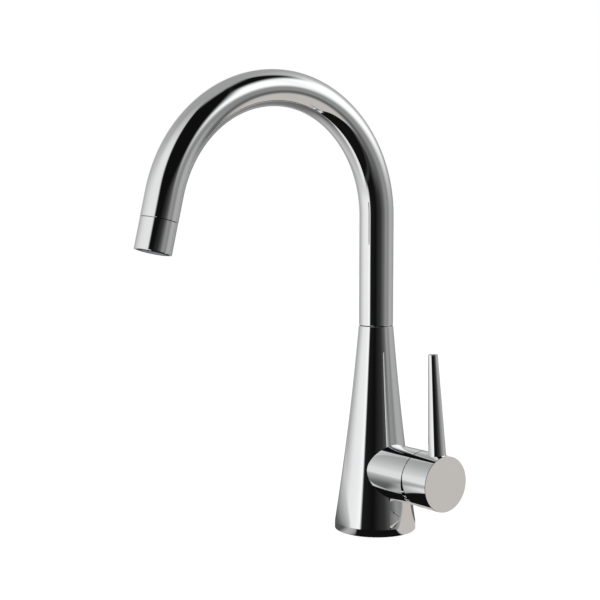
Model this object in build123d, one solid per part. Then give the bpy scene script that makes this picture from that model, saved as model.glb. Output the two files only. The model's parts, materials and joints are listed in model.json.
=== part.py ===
from build123d import *
import os
from math import cos, radians, sin, tan

# Pull-down kitchen faucet. Millimetres. +Z is up, z = 0 is the deck, the origin is on the body's axis.
# The spout reaches towards -Y and the mixing valve lies along +X.

# clearances, and how far a cutter runs past the material
FIT = 0.03
TIGHT = 0.02
END_PLAY = 0.05
RUNNING = 0.08
PLAY = 0.1
PAST = 1.0
FAR = 30.0

# body: a slightly waisted cone with a horizontal valve housing
BASE_R = 33.5
CONE_FOOT_R = 33.4
CONE_FOOT_Z = 6.0
CONE_TOP_R = 14.17
JOINT_Z = 169.1
CONE_WAIST = 1.37
BODY_WALL = 3.0
FLOOR_THICK = 12.0
EDGE_BREAK = 0.4
GROOVE_OUTER_R = 31.5
GROOVE_INNER_R = 28.0
GROOVE_DEPTH = 2.0
NECK_BORE_R = 11.5
NECK_FOOT_Z = 136.0

# swivel joint at the top of the body
SWIVEL_WASHER_THICK = 0.6
SWIVEL_WASHER_R = 13.4
ADAPTER_R = 11.3
ADAPTER_BORE_R = 8.0
ADAPTER_FOOT_Z = 130.5
ADAPTER_TOP_Z = 188.0
ADAPTER_LEAD = 2.0
BEARING_FEET = (139.0, 161.0)
BEARING_HEIGHT = 5.0
BEARING_SEAT_R = 10.5
ORING_FEET = (148.0, 155.0)
ORING_GROOVE_HEIGHT = 2.4
ORING_SEAT_R = 9.35
ORING_R = 1.0
ORING_CENTRE_R = 10.42
SNAP_FOOT_Z = 134.0
SNAP_HEIGHT = 1.3
SNAP_SEAT_R = 10.2
SNAP_R = 13.0
SNAP_GAP = 4.0

# spout tube and its centreline
SPOUT_R = 14.0
SPOUT_WALL = 1.2
RISER_TOP_Z = 258.7
RISE_BEND_R = 97.9
FALL_BEND_R = 105.6
SPOUT_TURN = 166.65
SPOUT_END = 19.6

# spray head, measured along its own axis from the seam with the spout
HEAD_R = 13.88
HEAD_LENGTH = 23.8
HEAD_GAP = 0.3
HEAD_BORE_R = 12.2
HEAD_TOP_THICK = 3.0
NECK_R = 9.8
NECK_LENGTH = 10.0
NECK_THREAD_R = 8.0
NECK_THREAD_END = 19.0
DOCK_BORE_R = 9.9
DOCK_LENGTH = 17.5
HOSE_NUT_R = 9.7
HOSE_NUT_END = 28.0
FLANGE_R = 7.6
FLANGE_TOP = 23.0
FLANGE_FOOT = 20.5
FERRULE_R = 7.2
FERRULE_END = 42.0
SWIVEL_STEM_R = 6.5
FERRULE_TOP_GAP = 0.5
FERRULE_BORE_R = 2.6
HOSE_STOP = 1.5
NUT_TOP_GAP = 0.5
NUT_FLAT_X = 9.0
NUT_FLAT_START = 21.5
NUT_FLAT_END = 26.5
HOSE_WASHER_R = 7.5
HOSE_WASHER_BORE_R = 3.6
HEAD_FOOT_EDGE = 0.35
HEAD_TOP_EDGE = 0.25
DOCK_TOP = 0.6
DOCK_FLARE = 2.2

# inside the spray head
CORE_END = 21.5
CORE_BORE_R = 5.0
CHECK_SEAT_R = 6.0
CHECK_SEAT_END = 9.0
CHECK_TOP = 18.5
CHECK_PORT_R = 3.0
CHECK_WALL = 2.0
CHECK_WAY_R = 4.6
CHECK_POPPET_R = 2.2
CHECK_WAY_START = 15.5
CUP_R = 11.0
CUP_START = 8.5
SEAL_BORE_R = 8.2
SEAL_END = 10.2
AERATOR_BORE_R = 9.4
AERATOR_PLATE_R = 10.0
AERATOR_PLATE_END = 12.0
AERATOR_STAND_OUT = 0.4
JET_R = 0.9
MIDDLE_JET_R = 1.0
JET_CIRCLES = ((3.5, 6), (7.0, 12))
SCREENS = ((15.0, 0.8, 0.5), (21.0, 3.0, 0.6))
SCREEN_RIM_R = 8.4
SCREEN_BAR_END_R = 8.8
SCREEN_PITCH = 2.3
SCREEN_STEPS = 3

# spray hose
HOSE_R = 5.75
HOSE_BORE_R = 3.5
HOSE_LAST_TURN = 60.0
HOSE_LAST_BEND_R = 68.5
HOSE_TAIL_Z = -82.0
TAIL_CRIMP_R = 6.9
TAIL_CRIMP_LENGTH = 12.0
TAIL_FLOOR = 2.0
TAIL_PLUG_R = 5.0
TAIL_PLUG_LENGTH = 16.0
TAIL_BORE_R = 2.8
TAIL_GROOVE_R = 4.2
TAIL_GROOVE_START = 4.0
TAIL_GROOVE_END = 6.0

# valve housing and mixing cartridge, measured along +X
VALVE_Z = 51.0
VALVE_R = 22.05
CORE_X = 7.5
BLOCK_SIDE = 16.8
BLOCK_END_X = 19.0
SEAT_X = 17.0
HOUSING_RIM_X = 56.2
HOUSING_RIM_DROP = 2.0
HOUSING_RELIEF_TOP = 2.0
CARTRIDGE_BORE_R = 17.5
CASE_R = 17.42
CASE_END_X = 44.0
NUT_BORE_R = 18.5
COVER_SEAT_X = 50.0
COVER_SEAT_R = 20.0
BASE_PLATE_X = 17.6
FIXED_DISC_X = 20.6
MOVING_DISC_X = 24.6
CARRIER_X = 28.0
GUIDE_X = 34.0
GUIDE_R = 13.5
GUIDE_NECK_R = 10.9
GUIDE_END_X = 46.0
CASE_LIP = 1.5
SEAL_RECESS = 1.4
CASE_PLAY = 0.2
POCKET_DEPTH = 2.0
POCKET_SIDE = 7.0
POCKET_FOOT = 5.0
POCKET_TOP = 6.0
CARRIER_FLOOR = 0.8
CARRIER_GAP = 0.25
NUT_RECESS = 0.6
COVER_FLANGE = 1.6
COVER_FLANGE_BORE_R = 15.6
SLOT_TOP = 5.4
SLOT_FOOT = 6.6
NUT_SOCKET_R = 15.0
NUT_THROAT_R = 12.0
NUT_SOCKET_FLOOR = 2.0
DISC_R = 14.4
MOVING_DISC_R = 11.0
CARRIER_R = 10.4
COVER_SPHERE_R = 19.9
COVER_WALL = 1.2
COVER_CROWN_R = 16.9
COVER_HOLE_R = 11.2
PORT_RISE = 8.0
PORT_DROP = 6.0
PORT_SIDE = 9.0
WAY_R = 3.0
SEAL_R = 4.5
SEAL_HOLE_R = 3.1
PIVOT_X = 40.2
PIVOT_R = 2.0
PIVOT_HALF = 10.0
STEM_HALF = 3.5
STEM_END_X = 74.0
STEM_NECK_R = 1.8
TIP_REACH = 8.4
TIP_R = 2.6

# handle cap and lever
CAP_RIM_X = 57.0
CAP_END_X = 83.65
CAP_WALL = 1.65
CAP_RIM_WALL = 0.8
CAP_RIM_DEPTH = 8.0
CAP_END_THICK = 4.0
CAP_RELIEF = 4.0
CAP_RELIEF_TOP = 6.0
HUB_R = 8.5
HUB_X = 63.0
LEVER_BOSS_R = 8.0
LEVER_X = 75.4
LEVER_LEAN = 4.16
LEVER_ROOT_R = 7.81
LEVER_TIP_R = 3.81
LEVER_LENGTH = 100.5
LEVER_SEAT = 15.0
LEVER_SOCKET_END = 30.0
LEVER_TIP_EDGE = 0.5
LEVER_BOSS_START = 5.0
LEVER_BOSS_END = 26.0
STUD_R = 3.0
STUD_IN_LEVER = 12.0
STUD_IN_CAP = 5.8
CAP_EDGE = 0.25
CAP_BOSS_INSET = 0.5
STEM_END_PLAY = 0.6
SET_SCREW_X = 69.0
SET_SCREW_R = 2.5
SET_SCREW_LENGTH = 8.0
SET_SCREW_BOSS_R = 4.6
SET_SCREW_BOSS_LENGTH = 12.5
KEY_R = 1.4
KEY_DEPTH = 3.0
KEY_HOLE_R = 3.0
KEY_HOLE_START = 18.0

# mounting hardware under the deck
DECK_THICK = 30.0
SHANK_R = 16.5
SHANK_BORE_R = 14.4
SHANK_LENGTH = 62.0
THREAD_LEAD = 1.5
SHANK_DROP = 0.2
WASHER_R = 27.0
RUBBER_PLAY = 0.5
STEEL_PLAY = 0.4
RUBBER_THICK = 3.0
STEEL_THICK = 2.0
NUT_GAP = 1.0
NUT_THICK = 12.0
NUT_HEX_R = 30.5
JACK_SCREW_R = 2.5
JACK_SCREW_CIRCLE_R = 22.2
JACK_SCREW_COUNT = 2
JACK_SCREW_LENGTH = 27.0
JACK_HEAD_R = 4.2
JACK_HEAD_HEIGHT = 4.0
JACK_SOCKET_R = 2.3
JACK_SOCKET_DEPTH = 2.2

# waterways
PORT_X = 12.6
PORT_Y = 10.8
PORT_R = 4.5
PORT_DEPTH = 12.0
BLOCK_FOOT_Z = 28.0
OUTLET_TUBE_R = 4.0
OUTLET_TUBE_WALL = 0.8
OUTLET_BEND_R = 30.0
OUTLET_SHANK_X = 10.2
OUTLET_UPPER_JOGGLE = (25.0, 15.0)
OUTLET_LOWER_JOGGLE = (-65.0, -77.0)
OUTLET_GROOVE_DEPTH = 0.45
OUTLET_GROOVE_WIDTH = 2.0
TUBE_DROP = 0.2
OUTLET_TAIL_X = 13.2
OUTLET_TAIL_Z = -112.0
OUTLET_TAIL_LENGTH = 10.0

turn = radians(SPOUT_TURN)
fall_turn = radians(SPOUT_TURN - 90.0)
crown = (0.0, -RISE_BEND_R, RISER_TOP_Z + RISE_BEND_R)
fall_centre_z = crown[2] - FALL_BEND_R
bend_end = (
    0.0,
    crown[1] - FALL_BEND_R * sin(fall_turn),
    fall_centre_z + FALL_BEND_R * cos(fall_turn),
)
outlet_dir = Vector(0, -sin(turn), cos(turn))
head_seam = Vector(*bend_end) + outlet_dir * SPOUT_END
head_plane = Plane(origin=head_seam, x_dir=(1, 0, 0), z_dir=outlet_dir)
valve_plane = Plane(origin=(0, 0, VALVE_Z), x_dir=(0, 0, 1), z_dir=(1, 0, 0))


def disc(radius, z0, z1):
    """A solid cylinder on the local Z axis."""
    return Pos(0, 0, (z0 + z1) / 2) * Cylinder(radius, abs(z1 - z0))


def ring(outer, inner, z0, z1):
    """A plain ring on the local Z axis."""
    return disc(outer, z0, z1) - disc(inner, z0 - PAST, z1 + PAST)


def turned(points):
    """A solid of revolution about the local Z axis from (radius, height) points."""
    face = make_face(Polyline(*[(r, 0, z) for r, z in points], close=True))
    return revolve(face, Axis.Z)


def rod(radius, start, end):
    """A solid cylinder between two points."""
    a = Vector(*start)
    b = Vector(*end)
    plane = Plane(origin=a, z_dir=(b - a).normalized())
    return plane * Pos(0, 0, (b - a).length / 2) * Cylinder(radius, (b - a).length)


def swept(radius, path):
    """A round bar along a path."""
    return sweep(Plane(origin=path @ 0, z_dir=path % 0) * Circle(radius), path=path)


def block(x0, x1, y0, y1, z0, z1):
    """A rectangular block between two corners."""
    centre = ((x0 + x1) / 2, (y0 + y1) / 2, (z0 + z1) / 2)
    return Pos(*centre) * Box(abs(x1 - x0), abs(y1 - y0), abs(z1 - z0))


def on_valve(shape):
    """Puts a shape made along local Z onto the valve's axis, with local X pointing up."""
    return valve_plane * shape


def on_head(shape):
    """Puts a shape made along local Z onto the spray head's axis."""
    return head_plane * shape


def cone_radius(z, inset=0.0):
    """The body's outer radius at a height, less an inset."""
    u = (z - CONE_FOOT_Z) / (JOINT_Z - CONE_FOOT_Z)
    straight = CONE_FOOT_R + u * (CONE_TOP_R - CONE_FOOT_R)
    return straight - CONE_WAIST * 4 * u * (1 - u) - inset


def waisted(z0, z1, inset):
    """The waisted side line between two heights, as one arc."""
    mid = (z0 + z1) / 2
    return ThreePointArc(
        (cone_radius(z0, inset), 0, z0),
        (cone_radius(mid, inset), 0, mid),
        (cone_radius(z1, inset), 0, z1),
    )


def body_outside():
    top_z = JOINT_Z - SWIVEL_WASHER_THICK / 2
    side = waisted(CONE_FOOT_Z, top_z - EDGE_BREAK / 2, 0)
    edge = Polyline(
        side @ 1,
        (CONE_TOP_R - EDGE_BREAK, 0, top_z),
        (0, 0, top_z),
        (0, 0, 0),
        (BASE_R - EDGE_BREAK, 0, 0),
        (BASE_R, 0, EDGE_BREAK),
        side @ 0,
    )
    return revolve(make_face(side + edge), Axis.Z)


def body_inside():
    side = waisted(FLOOR_THICK, NECK_FOOT_Z, BODY_WALL)
    edge = Polyline(side @ 1, (0, 0, NECK_FOOT_Z), (0, 0, FLOOR_THICK), side @ 0)
    return revolve(make_face(side + edge), Axis.Z)


def relief(x, drop_top, drop, direction):
    """A wedge in the side view that opens the seam towards the bottom of the valve."""
    low = VALVE_Z - VALVE_R - PAST
    high = VALVE_Z + drop_top
    slant = drop * (high - low) / (VALVE_R + drop_top)
    back = x - direction * 2 * drop
    points = [(x, 0, high), (back, 0, high), (back, 0, low), (x + direction * slant, 0, low)]
    return extrude(make_face(Polyline(*points, close=True)), VALVE_R + PAST, both=True)


def valve_cavity():
    """Everything inside the housing: cartridge bore, nut thread and mouth."""
    bore = disc(CARTRIDGE_BORE_R, SEAT_X, CASE_END_X)
    bore += disc(NUT_BORE_R, CASE_END_X, COVER_SEAT_X)
    bore += disc(COVER_SEAT_R, COVER_SEAT_X, HOUSING_RIM_X + PAST)
    return on_valve(bore)


def port_spots():
    """Where the three waterways meet the cartridge: sideways and up from the valve's axis."""
    return ((0, PORT_RISE), (-PORT_SIDE, -PORT_DROP), (PORT_SIDE, -PORT_DROP))


def waterways():
    """Two inlets from below and one outlet back down, all drilled in the valve block."""
    foot = BLOCK_FOOT_Z
    bores = ((OUTLET_TUBE_R, 0), (PORT_R, -PORT_Y), (PORT_R, PORT_Y))
    ways = []
    for (radius, y), (port_y, port_z) in zip(bores, port_spots()):
        turn_z = VALVE_Z + port_z
        ways.append(rod(radius, (PORT_X, y, foot - PAST), (PORT_X, y, foot + PORT_DEPTH)))
        ways.append(rod(WAY_R, (PORT_X, y, foot), (PORT_X, y, turn_z + PAST)))
        ways.append(rod(WAY_R, (PORT_X, port_y, turn_z), (SEAT_X + PAST, port_y, turn_z)))
    return ways


def housing_outside():
    """The horizontal valve cylinder and the block that the waterways are drilled in."""
    cylinder = on_valve(disc(VALVE_R, CORE_X, HOUSING_RIM_X))
    return cylinder + block(CORE_X, BLOCK_END_X, -BLOCK_SIDE, BLOCK_SIDE, BLOCK_FOOT_Z, VALVE_Z)


def body_shell():
    body = body_outside() - body_inside()
    body -= disc(NECK_BORE_R, NECK_FOOT_Z - PAST, JOINT_Z + PAST)
    body -= disc(SHANK_R, -PAST, FLOOR_THICK + PAST)
    body -= ring(GROOVE_OUTER_R, GROOVE_INNER_R, -PAST, GROOVE_DEPTH)
    return body - on_valve(disc(VALVE_R + FIT, CORE_X, HOUSING_RIM_X))


def valve_housing():
    """Brazed into the body's side. It holds the cartridge and its waterways."""
    housing = housing_outside() - valve_cavity() - waterways()
    return housing - relief(HOUSING_RIM_X, HOUSING_RELIEF_TOP, HOUSING_RIM_DROP, -1)


def base_gasket():
    return ring(GROOVE_OUTER_R - PLAY, GROOVE_INNER_R + PLAY, 0, GROOVE_DEPTH - PLAY)


def mounting_shank():
    top = FLOOR_THICK - SHANK_DROP
    points = [
        (0, top),
        (SHANK_R - FIT, top),
        (SHANK_R - FIT, THREAD_LEAD - SHANK_LENGTH),
        (SHANK_R - THREAD_LEAD, -SHANK_LENGTH),
        (0, -SHANK_LENGTH),
    ]
    return turned(points) - disc(SHANK_BORE_R, -SHANK_LENGTH - PAST, top + PAST)


def deck_washer_rubber():
    return ring(WASHER_R, SHANK_R + RUBBER_PLAY, -DECK_THICK - RUBBER_THICK, -DECK_THICK)


def deck_washer_steel():
    top = -DECK_THICK - RUBBER_THICK
    return ring(WASHER_R, SHANK_R + STEEL_PLAY, top - STEEL_THICK, top)


def jack_screw_spots():
    return PolarLocations(JACK_SCREW_CIRCLE_R, JACK_SCREW_COUNT, start_angle=90)


def mounting_nut():
    top = -DECK_THICK - RUBBER_THICK - STEEL_THICK - NUT_GAP
    foot = top - NUT_THICK
    middle = top - NUT_THICK / 2
    hexagon = extrude(Plane.XY.offset(foot) * RegularPolygon(NUT_HEX_R, 6), middle - foot)
    nut = disc(WASHER_R, foot, top) & (hexagon + disc(WASHER_R, middle, top))
    nut -= disc(SHANK_R, foot - PAST, top + PAST)
    return nut - [spot * disc(JACK_SCREW_R, foot - PAST, top + PAST) for spot in jack_screw_spots()]


def nut_screws():
    top = -DECK_THICK - RUBBER_THICK - STEEL_THICK
    foot = top - JACK_SCREW_LENGTH
    screws = []
    for spot in jack_screw_spots():
        screw = disc(JACK_SCREW_R - FIT, foot, top)
        screw += disc(JACK_HEAD_R, foot, foot + JACK_HEAD_HEIGHT)
        socket = extrude(Plane.XY.offset(foot) * RegularPolygon(JACK_SOCKET_R, 6), JACK_SOCKET_DEPTH)
        screws.append(spot * (screw - socket))
    return screws


def outlet_tube():
    """Carries mixed water down the shank, with two gentle joggles to keep clear of the hose."""
    points = [
        (PORT_X, 0, BLOCK_FOOT_Z + PORT_DEPTH - TUBE_DROP),
        (PORT_X, 0, OUTLET_UPPER_JOGGLE[0]),
        (OUTLET_SHANK_X, 0, OUTLET_UPPER_JOGGLE[1]),
        (OUTLET_SHANK_X, 0, OUTLET_LOWER_JOGGLE[0]),
        (OUTLET_TAIL_X, 0, OUTLET_LOWER_JOGGLE[1]),
        (OUTLET_TAIL_X, 0, OUTLET_TAIL_Z),
    ]
    path = FilletPolyline(*points, radius=OUTLET_BEND_R).wire()
    tube = swept(OUTLET_TUBE_R - FIT, path) - swept(OUTLET_TUBE_R - OUTLET_TUBE_WALL, path)
    low = OUTLET_TAIL_Z + OUTLET_TAIL_LENGTH
    notch = groove(OUTLET_TUBE_R, OUTLET_TUBE_R - OUTLET_GROOVE_DEPTH, low, low + OUTLET_GROOVE_WIDTH)
    return tube - Pos(OUTLET_TAIL_X, 0, 0) * notch


def seat_ports(radius, x0, x1):
    """The three holes through the cartridge's foot, in line with the waterways."""
    return [rod(radius, (x0, y, VALVE_Z + z), (x1, y, VALVE_Z + z)) for y, z in port_spots()]


def cartridge_base():
    plate = on_valve(disc(CASE_R, BASE_PLATE_X, FIXED_DISC_X - END_PLAY))
    plate -= seat_ports(SEAL_R + PLAY, BASE_PLATE_X - PAST, BASE_PLATE_X + SEAL_RECESS)
    return plate - seat_ports(WAY_R - PLAY, BASE_PLATE_X, FIXED_DISC_X)


def cartridge_seals():
    seal = Rot(0, 90, 0) * ring(SEAL_R, SEAL_HOLE_R, SEAT_X, BASE_PLATE_X + SEAL_RECESS - END_PLAY)
    return [Pos(0, y, VALVE_Z + z) * seal for y, z in port_spots()]


def fixed_disc():
    plate = on_valve(disc(DISC_R, FIXED_DISC_X, MOVING_DISC_X - FIT))
    return plate - seat_ports(WAY_R - 2 * PLAY, FIXED_DISC_X - PAST, MOVING_DISC_X + PAST)


def moving_disc():
    plate = on_valve(disc(MOVING_DISC_R, MOVING_DISC_X, CARRIER_X - FIT))
    floor_x = MOVING_DISC_X + POCKET_DEPTH
    low = VALVE_Z - POCKET_FOOT
    high = VALVE_Z + POCKET_TOP
    return plate - block(MOVING_DISC_X - PAST, floor_x, -POCKET_SIDE, POCKET_SIDE, low, high)


def disc_carrier():
    """Plastic coupler glued to the moving disc. The stem's tip sits in its slot."""
    carrier = on_valve(disc(CARRIER_R, CARRIER_X, GUIDE_X - CARRIER_GAP))
    half = TIP_R + RUNNING
    floor_x = CARRIER_X + CARRIER_FLOOR
    return carrier - block(floor_x, GUIDE_X, -half, half, VALVE_Z - half, VALVE_Z + half)


def cartridge_case():
    case = on_valve(disc(CASE_R, FIXED_DISC_X, CASE_END_X - END_PLAY))
    case -= on_valve(disc(DISC_R + CASE_PLAY, FIXED_DISC_X - PAST, GUIDE_X - CASE_PLAY))
    case -= on_valve(disc(GUIDE_R + RUNNING, GUIDE_X - PAST, CASE_END_X - CASE_LIP))
    return case - on_valve(disc(GUIDE_NECK_R + RUNNING, GUIDE_X, CASE_END_X + PAST))


def stem_guide():
    """Turns in the case with the stem's slot and its pivot holes."""
    guide = disc(GUIDE_R, GUIDE_X, CASE_END_X - CASE_LIP - PLAY)
    guide = on_valve(guide + disc(GUIDE_NECK_R, GUIDE_X, GUIDE_END_X))
    half = STEM_HALF + PLAY
    low = VALVE_Z - SLOT_FOOT
    high = VALVE_Z + SLOT_TOP
    guide -= block(GUIDE_X - PAST, GUIDE_END_X + PAST, -half, half, low, high)
    return guide - rod(PIVOT_R + END_PLAY, (PIVOT_X, -GUIDE_R, VALVE_Z), (PIVOT_X, GUIDE_R, VALVE_Z))


def cartridge_stem():
    half = STEM_HALF
    tip = (PIVOT_X - TIP_REACH, 0, VALVE_Z)
    stem = block(PIVOT_X - half, STEM_END_X, -half, half, VALVE_Z - half, VALVE_Z + half)
    stem += rod(STEM_NECK_R, tip, (PIVOT_X, 0, VALVE_Z))
    stem += Pos(*tip) * Sphere(TIP_R)
    return stem + rod(PIVOT_R, (PIVOT_X, -PIVOT_HALF, VALVE_Z), (PIVOT_X, PIVOT_HALF, VALVE_Z))


def retaining_nut():
    nut = ring(NUT_BORE_R - FIT, NUT_THROAT_R, CASE_END_X, COVER_SEAT_X - NUT_RECESS)
    hexagon = Plane.XY.offset(CASE_END_X + NUT_SOCKET_FLOOR) * RegularPolygon(NUT_SOCKET_R, 6)
    return on_valve(nut - extrude(hexagon, COVER_SEAT_X - CASE_END_X))


def dome_cover():
    """A domed trim ring whose sphere is centred on the lever's pivot."""
    dome = Pos(0, 0, PIVOT_X) * (Sphere(COVER_SPHERE_R) - Sphere(COVER_SPHERE_R - COVER_WALL))
    top = PIVOT_X + COVER_SPHERE_R + PAST
    dome = dome & disc(COVER_CROWN_R, COVER_SEAT_X, top)
    dome += ring(COVER_SEAT_R - FIT, COVER_FLANGE_BORE_R, COVER_SEAT_X, COVER_SEAT_X + COVER_FLANGE)
    return on_valve(dome - disc(COVER_HOLE_R, COVER_SEAT_X - PAST, top))


def lever_point(distance):
    """A point on the lever's axis, by its distance above the valve's axis."""
    lean = radians(LEVER_LEAN)
    return (LEVER_X - distance * sin(lean), 0, VALVE_Z + distance * cos(lean))


def lever_cone(start, end, extra=0.0):
    """The lever's taper between two distances from the valve's axis."""
    slope = (LEVER_TIP_R - LEVER_ROOT_R) / LEVER_LENGTH
    plane = Plane(origin=lever_point(start), z_dir=Vector(*lever_point(end)) - Vector(*lever_point(start)))
    length = end - start
    low = LEVER_ROOT_R + slope * start + extra
    high = LEVER_ROOT_R + slope * end + extra
    return plane * Pos(0, 0, length / 2) * Cone(low, high, length)


def lever_rod():
    lever = lever_cone(LEVER_SEAT, LEVER_LENGTH)
    tip = lever.faces().sort_by(Axis.Z)[-1]
    lever = chamfer(tip.edges(), LEVER_TIP_EDGE)
    return lever - rod(STUD_R, lever_point(LEVER_SEAT - PAST), lever_point(LEVER_SEAT + STUD_IN_LEVER + PAST))


def lever_stud():
    return rod(STUD_R - FIT, lever_point(LEVER_SEAT - STUD_IN_CAP), lever_point(LEVER_SEAT + STUD_IN_LEVER))


def under_valve(radius, start, end):
    """A rod straight down from the valve's axis, in line with the set screw."""
    return rod(radius, (SET_SCREW_X, 0, VALVE_Z - start), (SET_SCREW_X, 0, VALVE_Z - end))


def handle_cap():
    shell = disc(VALVE_R, CAP_RIM_X, CAP_END_X)
    shell = chamfer(shell.edges().group_by(Axis.Z)[-1], CAP_EDGE)
    shell -= disc(VALVE_R - CAP_RIM_WALL, CAP_RIM_X - PAST, CAP_RIM_X + CAP_RIM_DEPTH)
    shell -= disc(VALVE_R - CAP_WALL, CAP_RIM_X, CAP_END_X - CAP_END_THICK)
    shell = on_valve(shell + disc(HUB_R, HUB_X, CAP_END_X - PAST))
    boss = rod(LEVER_BOSS_R, lever_point(LEVER_BOSS_START), lever_point(LEVER_BOSS_END))
    boss = boss & on_valve(disc(VALVE_R - CAP_WALL / 2, HUB_X, CAP_END_X - CAP_BOSS_INSET))
    shell += boss
    shell += under_valve(SET_SCREW_BOSS_R, 0, SET_SCREW_BOSS_LENGTH)
    half = STEM_HALF + END_PLAY
    slot_end = STEM_END_X + STEM_END_PLAY
    shell -= block(HUB_X - PAST, slot_end, -half, half, VALVE_Z - half, VALVE_Z + half)
    shell -= lever_cone(LEVER_SEAT, LEVER_SOCKET_END, FIT)
    stud_end = LEVER_SEAT - STUD_IN_CAP - 2 * PLAY
    shell -= rod(STUD_R, lever_point(stud_end), lever_point(LEVER_SEAT + PAST))
    shell -= under_valve(SET_SCREW_R, 0, SET_SCREW_BOSS_LENGTH + PAST)
    shell -= under_valve(KEY_HOLE_R, KEY_HOLE_START, VALVE_R + PAST)
    return shell - relief(CAP_RIM_X, CAP_RELIEF_TOP, CAP_RELIEF, 1)


def set_screw():
    start = STEM_HALF + TIGHT
    end = start + SET_SCREW_LENGTH
    key = Plane.XY.offset(VALVE_Z - end) * Pos(SET_SCREW_X, 0, 0) * RegularPolygon(KEY_R, 6)
    return under_valve(SET_SCREW_R - FIT, start, end) - extrude(key, KEY_DEPTH)


def swivel_washer():
    low = JOINT_Z - SWIVEL_WASHER_THICK / 2
    return ring(SWIVEL_WASHER_R, NECK_BORE_R, low, low + SWIVEL_WASHER_THICK)


def rise_arc():
    """The first quarter turn of the centreline, up to the crown."""
    half = radians(45)
    mid = (0, -RISE_BEND_R * (1 - cos(half)), RISER_TOP_Z + RISE_BEND_R * sin(half))
    return Edge.make_three_point_arc((0, 0, RISER_TOP_Z), mid, crown)


def fall_point(angle):
    """A point on the falling bend's centreline, by its angle past the crown."""
    y = crown[1] - FALL_BEND_R * sin(angle)
    return Vector(0, y, fall_centre_z + FALL_BEND_R * cos(angle))


def spout_path():
    """The spout's centreline from the swivel joint to the seam with the spray head."""
    riser = Edge.make_line((0, 0, JOINT_Z + SWIVEL_WASHER_THICK / 2), (0, 0, RISER_TOP_Z))
    fall = Edge.make_three_point_arc(crown, fall_point(fall_turn / 2), bend_end)
    end = Edge.make_line(bend_end, head_seam)
    return Wire([riser, rise_arc(), fall, end])


def spout_tube():
    path = spout_path()
    return swept(SPOUT_R, path) - swept(SPOUT_R - SPOUT_WALL, path)


def groove(outer, inner, z0, z1):
    """A cutter for a groove round the outside."""
    return ring(outer + PAST, inner, z0, z1)


def spout_adapter():
    """Sleeve brazed into the tube. It turns in the body's neck on two bearing rings."""
    shoulder_z = JOINT_Z + SWIVEL_WASHER_THICK / 2
    sleeve = disc(SPOUT_R - SPOUT_WALL - FIT, shoulder_z, ADAPTER_TOP_Z)
    sleeve += disc(ADAPTER_R, ADAPTER_FOOT_Z, ADAPTER_TOP_Z - ADAPTER_LEAD)
    sleeve -= disc(ADAPTER_BORE_R, ADAPTER_FOOT_Z - PAST, ADAPTER_TOP_Z + PAST)
    for z in BEARING_FEET:
        sleeve -= groove(ADAPTER_R, BEARING_SEAT_R, z, z + BEARING_HEIGHT)
    for z in ORING_FEET:
        sleeve -= groove(ADAPTER_R, ORING_SEAT_R, z, z + ORING_GROOVE_HEIGHT)
    return sleeve - groove(ADAPTER_R, SNAP_SEAT_R, SNAP_FOOT_Z, SNAP_FOOT_Z + SNAP_HEIGHT)


def bearing_rings():
    seat = BEARING_SEAT_R + FIT
    height = BEARING_HEIGHT - END_PLAY
    return [ring(NECK_BORE_R - RUNNING, seat, z + END_PLAY, z + height) for z in BEARING_FEET]


def spout_orings():
    return [Pos(0, 0, z + ORING_GROOVE_HEIGHT / 2) * Torus(ORING_CENTRE_R, ORING_R) for z in ORING_FEET]


def snap_ring():
    top = SNAP_FOOT_Z + SNAP_HEIGHT
    snap = ring(SNAP_R, SNAP_SEAT_R + END_PLAY, SNAP_FOOT_Z + END_PLAY, top - END_PLAY)
    return snap - block(0, SNAP_R + PAST, -SNAP_GAP / 2, SNAP_GAP / 2, SNAP_FOOT_Z, top)


def dock_collar():
    """Plastic guide in the end of the spout that centres the spray head's neck."""
    collar = ring(SPOUT_R - SPOUT_WALL - FIT, DOCK_BORE_R, -DOCK_LENGTH, -DOCK_TOP)
    mouth = Cone(DOCK_BORE_R, DOCK_BORE_R + DOCK_FLARE, DOCK_FLARE)
    return on_head(collar - Pos(0, 0, PLAY - DOCK_TOP - DOCK_FLARE / 2) * mouth)


def hose_path():
    """The hose's route: up the body, round the first bends, across the tube and into the ferrule."""
    up = Edge.make_line((0, 0, HOSE_TAIL_Z), (0, 0, RISER_TOP_Z))
    entry = head_seam - outlet_dir * (FERRULE_END - PAST)
    last = head_seam - outlet_dir * (HOSE_NUT_END + HOSE_STOP)
    last_turn = radians(HOSE_LAST_TURN)
    follow = fall_turn - last_turn
    leave_dir = Vector(0, -cos(follow), -sin(follow))
    leave = fall_point(follow)
    corner = entry - outlet_dir * (HOSE_LAST_BEND_R * tan(last_turn / 2))
    bend_start = corner - leave_dir * (HOSE_LAST_BEND_R * tan(last_turn / 2))
    first = Edge.make_three_point_arc(crown, fall_point(follow / 2), leave)
    across = Edge.make_line(leave, bend_start)
    centre = entry - Vector(0, cos(turn), sin(turn)) * HOSE_LAST_BEND_R
    mid = centre + (corner - centre).normalized() * HOSE_LAST_BEND_R
    bend = Edge.make_three_point_arc(bend_start, mid, entry)
    return Wire([up, rise_arc(), first, across, bend, Edge.make_line(entry, last)])


def spray_hose():
    path = hose_path()
    return swept(HOSE_R, path) - swept(HOSE_BORE_R, path)


def hose_ferrule():
    """Crimped on the hose. Its flange turns inside the union nut."""
    ferrule = disc(FERRULE_R, -FERRULE_END, -HOSE_NUT_END - FERRULE_TOP_GAP)
    ferrule += disc(SWIVEL_STEM_R, -HOSE_NUT_END - PAST, -FLANGE_FOOT)
    ferrule += disc(FLANGE_R, -FLANGE_TOP, -FLANGE_FOOT)
    ferrule -= disc(FERRULE_BORE_R, -FERRULE_END - PAST, -NECK_THREAD_END)
    hose_end = -HOSE_NUT_END - HOSE_STOP + PLAY
    return on_head(ferrule - disc(HOSE_R + FIT, -FERRULE_END - PAST, hose_end))


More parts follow.
